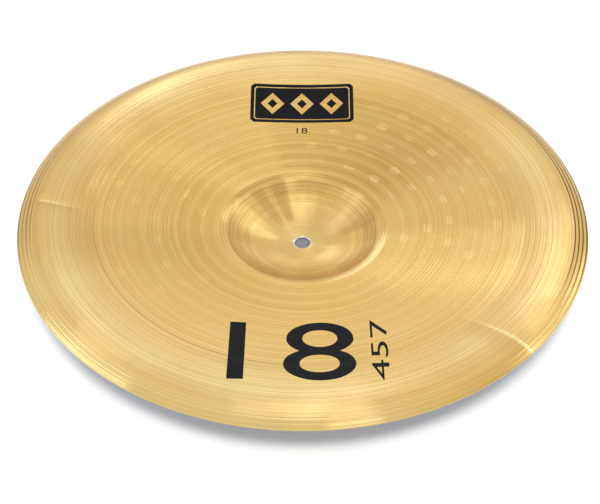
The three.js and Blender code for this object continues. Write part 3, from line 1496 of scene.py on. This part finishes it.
@dataclass
class PrintedInk:
    """A printed figure: a thin closed skin of ink that lies on the sheet."""

    name: str
    figure: Numerals | DiamondBlock
    grid: float = 2.0
    edge_step: float = 2.0
    lift: float = 0.04
    sink: float = 0.2
    ridge_reach: float = 1.3

    RIDGE_STEPS = (-1, -0.5, 0, 0.5, 1)
    LEAST_GAP = 0.4
    SAME_POINT = 1e-6

    def build(self, sheet: bpy.types.Object, ink: bpy.types.Material) -> bpy.types.Object:
        """Lays the figure on the sheet.

        Args:
            sheet: the finished sheet.
            ink: the finish.

        Returns:
            The finished object.
        """
        outlines = [self.fine(outline) for outline in self.figure.outlines()]
        points, faces = self.fill(outlines)
        tree = BVHTree.FromObject(sheet, bpy.context.evaluated_depsgraph_get())
        count = len(points)
        places = [(x * MM, y * MM, self.top_of(tree, x, y)) for x, y in points]
        top = [(x, y, z + self.lift * MM) for x, y, z in places]
        bottom = [(x, y, z - self.sink * MM) for x, y, z in places]
        under = [tuple(i + count for i in face[::-1]) for face in faces]
        mesh = bpy.data.meshes.new(self.name)
        mesh.from_pydata(top + bottom, [], faces + under + self.sides(faces, count))
        mesh.materials.append(ink)
        obj = put_in_scene(mesh, self.name)
        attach(obj, BODY)
        return obj

    def top_of(self, tree: BVHTree, x: float, y: float) -> float:
        """The height of the highest turned ridge next to a point, in metres.

        Args:
            tree: the sheet's faces.
            x: the point's place across the sheet, in millimetres.
            y: its place along the sheet.

        Returns:
            The height.
        """
        place = np.array([x, y])
        out = place / math.hypot(x, y) * self.ridge_reach
        near = [Vector((*(place + out * step) * MM, 1.0)) for step in self.RIDGE_STEPS]
        found = [tree.ray_cast(start, Vector((0, 0, -1)))[0].z for start in near]
        slope = (found[-1] - found[0]) / 2
        return max(z - slope * step for z, step in zip(found, self.RIDGE_STEPS))

    def fine(self, outline: Outline) -> Outline:
        """The outline with its long edges cut into steps.

        Args:
            outline: the outline.

        Returns:
            The outline with more points.
        """
        found: Outline = []
        for here, there in zip(outline, outline[1:] + outline[:1]):
            steps = max(1, math.ceil(float(np.hypot(*(there - here))) / self.edge_step))
            found += [here + (there - here) * step / steps for step in range(steps)]
        return found

    def fill(self, outlines: list[Outline]) -> tuple[list[Point], list[Corners]]:
        """Fills the outlines with small triangles.

        Args:
            outlines: the closed outlines.

        Returns:
            The points and the triangles inside an odd number of outlines, all facing up.
        """
        ring = np.concatenate([np.array(outline) for outline in outlines])
        edges, first = [], 0
        for outline in outlines:
            edges += [(first + i, first + (i + 1) % len(outline)) for i in range(len(outline))]
            first += len(outline)
        low, high = ring.min(0), ring.max(0)
        across = np.arange(low[0] + self.grid / 2, high[0], self.grid)
        along = np.arange(low[1] + self.grid / 2, high[1], self.grid)
        inner = np.array([(x, y) for x in across for y in along])
        apart = np.hypot(*(inner[:, None] - ring[None]).transpose(2, 0, 1)).min(1)
        inner = inner[apart > self.grid * self.LEAST_GAP]
        points = [Vector(point) for point in (*ring, *inner)]
        verts, _, faces, *_ = delaunay_2d_cdt(points, edges, [], 0, self.SAME_POINT)
        places = np.array([tuple(vert) for vert in verts])
        kept = []
        for face in faces:
            corners = places[list(face)]
            if sum(self.holds(outline, corners.mean(0)) for outline in outlines) % 2:
                (ax, ay), (bx, by) = corners[1] - corners[0], corners[2] - corners[0]
                kept.append(tuple(face) if ax * by > ay * bx else tuple(face[::-1]))
        used = sorted({i for face in kept for i in face})
        fresh = {old: new for new, old in enumerate(used)}
        return [tuple(places[i]) for i in used], [tuple(fresh[i] for i in face) for face in kept]

    @staticmethod
    def holds(outline: Outline, point: np.ndarray) -> bool:
        """Tells whether a point lies inside an outline.

        Args:
            outline: the closed outline.
            point: the point.

        Returns:
            Whether it lies inside.
        """
        ring = np.array(outline)
        after = np.roll(ring, -1, axis=0)
        level = (ring[:, 1] > point[1]) != (after[:, 1] > point[1])
        rise = np.where(level, after[:, 1] - ring[:, 1], 1.0)
        crossing = ring[:, 0] + (after[:, 0] - ring[:, 0]) * (point[1] - ring[:, 1]) / rise
        return bool(np.count_nonzero(level & (crossing > point[0])) % 2)

    @staticmethod
    def sides(faces: list[Corners], count: int) -> list[Corners]:
        """The walls of the skin, one on each edge that only one face has."""
        edges = {(face[i - 1], face[i]) for face in faces for i in range(3)}
        return [(a + count, b + count, b, a) for a, b in edges if (b, a) not in edges]


# Studio


@dataclass(frozen=True)
class FanRing:
    """Soft lamps that each light one fan of the turned face, as the camera sees it.

    The reach is how steep a face has to be to mirror them, from 0 for a level face up to 1.7.  Each
    lamp's fan points along a spoke of the cymbal, in degrees, and is as wide as the spread.  A
    level face mirrors what lies behind the cymbal at the level place, where 1 is the horizon.
    """

    name: str
    reach: float
    spread: float
    depth: float
    radiances: dict[int, float]
    distance: float = 2.2
    longest: float = 2.4
    level_place: float = 0.751
    aim: tuple[float, float, float] = (0.0, 0.0, 0.03)
    tint: Colour = (0.88, 1.0, 1.38)

    LEAST_RISE = 0.01

    def hang(self, spoke: float, radiance: float) -> None:
        """Hangs one lamp, with its long edges along the fan's, and turns it to the cymbal.

        Args:
            spoke: where its fan points.
            radiance: how bright it is.
        """
        turn = math.radians(spoke)
        along = Vector((math.cos(turn), math.sin(turn), 0))
        across = Vector((-along.y, along.x, 0))
        flat = Vector((0, self.level_place, 0)) + along * self.reach
        rise = math.sqrt(max(1 - flat.length_squared, self.LEAST_RISE))
        way = Vector((flat.x, flat.y, rise)).normalized()
        up = (along - way * along.dot(way)).normalized()
        side = up.cross(way)
        slope = Vector((along.x, along.y, -flat.dot(along) / way.z)).length
        width = self.distance * self.reach * math.radians(self.spread) / abs(side.dot(across))
        name = f"{self.name}_lamp_{spoke}"
        data = bpy.data.lights.new(name, "AREA")
        data.shape = "RECTANGLE"
        data.size = min(width, self.longest)
        data.size_y = min(self.distance * self.depth * slope, self.longest)
        data.color = self.tint
        data.energy = radiance * math.pi * data.size * data.size_y  # watts of a flat lamp
        lamp = put_in_scene(data, name)
        axes = Matrix((side, up, way)).transposed().to_4x4()
        lamp.matrix_world = Matrix.Translation(Vector(self.aim) + way * self.distance) @ axes


@dataclass
class Studio:
    """The pale floor, the lamps, the world and the camera."""

    rings: tuple[FanRing, ...] = (
        FanRing("low", 1.15, 10, 0.2, {220: 1.73, 230: 1.19, 280: 0.96, 320: 1.3}),
        FanRing("lower", 0.95, 10, 0.2, {335: 1.04}),
        FanRing("middle", 0.6, 10, 0.45, {220: 0.27, 260: 0.34, 270: 0.68, 280: 0.52, 330: 0.48}),
        FanRing("upper", 0.48, 10, 0.14, {340: 1.09, 350: 0.71}),
        FanRing("high", 0.27, 15, 0.1, {210: 0.39, 300: 0.53, 345: 1.33}),
        FanRing(
            "higher", 0.19, 20, 0.1,
            {40: 0.27, 60: 0.39, 80: 0.23, 120: 0.34, 140: 1.16, 160: 1.08, 260: 0.19, 280: 0.57},
        ),
        FanRing("top", 0.1, 20, 0.1, {0: 0.26, 120: 0.36, 300: 0.78}),
    )
    world_light: Colour = (0.91, 0.87815, 0.7917)
    floor_radius: float = 6.0
    floor_drop: float = 0.0002
    floor_sides: int = 64
    paper: Colour = (0.95, 0.94, 0.93)
    paper_roughness: float = 0.9
    # Darker paper and a smaller lift under the sheet paint its shadow.
    shaded_paper: Colour = (0.55, 0.60, 0.655)
    shade_centre: tuple[float, float, float] = (0.0, 0.012, 0.0)
    shade_edge: tuple[float, float] = (0.218, 0.233)
    backdrop: Colour = (0.45, 0.50, 0.57)
    shaded_backdrop: Colour = (0.095, 0.12, 0.185)
    # A grey spot under the hole paints the shade seen through it.
    under: Colour = (0.26, 0.26, 0.27)
    under_edge: tuple[float, float] = (0.008, 0.016)
    grain_scale: float = 900.0
    grain_strength: float = 0.1
    grain_height: float = 0.0002
    film_width: float = 36.0
    lens: float = 84.89
    nearest: float = 0.01
    camera_place: tuple[float, float, float] = (0.0, -0.86037, 0.78647)
    camera_tilt: float = 47.219
    camera_roll: float = 0.1384

    def build(self) -> None:
        """Sets up everything that isn't the object."""
        self.floor()
        self.world()
        for ring in self.rings:
            for spoke, radiance in ring.radiances.items():
                ring.hang(spoke, radiance)
        self.camera()
        bpy.context.scene.view_settings.view_transform = "Standard"

    def floor(self) -> None:
        """A round pale floor, wide enough to fill every view.

        The brass throws warm light under the sheet, which cooler paper there evens out; that paper
        is also darker, a painted shadow, and a grey spot under the hole paints the shade seen
        through it.  The backdrop adds to what is seen of the paper, more of it away from the sheet,
        so less in the painted shadow and none in the spot, and lights nothing.
        """
        mesh = bpy.data.meshes.new("floor")
        turns = [math.tau * step / self.floor_sides for step in range(self.floor_sides)]
        far = self.floor_radius
        ring = [(far * math.cos(turn), far * math.sin(turn), -self.floor_drop) for turn in turns]
        mesh.from_pydata(ring, [], [list(range(len(ring)))])
        floor = put_in_scene(mesh, "floor")
        material, desk = new_material("floor_paper")
        here = desk.place("ShaderNodeTexCoord").outputs["Object"]
        # Painted shade in the spot seen through the hole.
        under = desk.fade(desk.vector("LENGTH", here), *self.under_edge)
        away = desk.vector("LENGTH", desk.vector("SUBTRACT", here, self.shade_centre))
        clear = desk.ease(away, *self.shade_edge)
        # Painted shadow: darker paper and less lift under the sheet.
        paper = desk.blend(self.shaded_paper, self.paper, clear)
        lift = desk.blend(self.shaded_backdrop, self.backdrop, clear)
        seen = desk.times(self.seen(desk), desk.calc("SUBTRACT", 1.0, under))
        grain = desk.noise(here, self.grain_scale, detail=2.0)
        desk.finish(
            Base_Color=desk.blend(paper, self.under, under),
            Emission_Color=desk.blend((0.0, 0.0, 0.0), lift, seen),
            Emission_Strength=1.0,
            Roughness=self.paper_roughness,
            Normal=desk.bump(grain, self.grain_strength, self.grain_height),
        )
        mesh.materials.append(material)

    def world(self) -> None:
        """A plain pale world, which is seen as white."""
        world = bpy.data.worlds.new("studio")
        bpy.context.scene.world = world
        world.use_nodes = True
        world.node_tree.nodes.clear()
        desk = Desk(world.node_tree)
        shown = desk.blend(self.world_light, (1.0, 1.0, 1.0), self.seen(desk))
        back = desk.place("ShaderNodeBackground", {"Color": shown, "Strength": 1.0})
        desk.place("ShaderNodeOutputWorld", {"Surface": back.outputs["Background"]})

    @staticmethod
    def seen(desk: Desk) -> Feed:
        """Whether a ray comes from the camera, also by way of metal or glass."""
        path = desk.place("ShaderNodeLightPath").outputs
        return desk.most(*(path[f"Is {kind} Ray"] for kind in ("Camera", "Glossy", "Transmission")))

    def camera(self) -> None:
        """The camera at the photograph's viewing angle."""
        data = bpy.data.cameras.new("camera")
        data.sensor_fit = "HORIZONTAL"
        data.sensor_width = self.film_width
        data.lens = self.lens
        data.clip_start = self.nearest
        camera = put_in_scene(data, "camera")
        camera.location = self.camera_place
        tilt, roll = math.radians(self.camera_tilt), math.radians(self.camera_roll)
        camera.rotation_euler = Euler((tilt, 0.0, roll))
        bpy.context.scene.camera = camera


def main() -> None:
    """Builds the scene in order."""
    logging.basicConfig(level=logging.INFO, format="%(name)s: %(message)s")
    Studio().build()
    marks = HammerMarks()
    turning = FineTurning()
    brass = TurnedBrass().make(turning, HammerFaces(), SideMask(), marks)
    sheet = SpunSheet(marks=marks).build(brass)
    ink = BlackInk().make(turning)
    upright = Numerals("457", (56.3, -151.0), 72.0, 12.5, boldness=0.15, turn=90.0)
    prints = (
        PrintedInk("printed_block", DiamondBlock((-0.7, 148.8), 91.0, 44.5)),
        PrintedInk("printed_small_number", Numerals("18", (-0.6, 117.2), 9.5, 6.6), edge_step=1.0),
        PrintedInk("printed_large_number", Numerals("18", (-7.5, -151.8), 93.0, 70.0)),
        PrintedInk("printed_upright_number", upright),
    )
    for made in (sheet, *(piece.build(sheet, ink) for piece in prints)):
        mesh = made.data
        log.info("%s: %d vertices, %d faces", made.name, len(mesh.vertices), len(mesh.polygons))


if __name__ == "__main__":
    main()
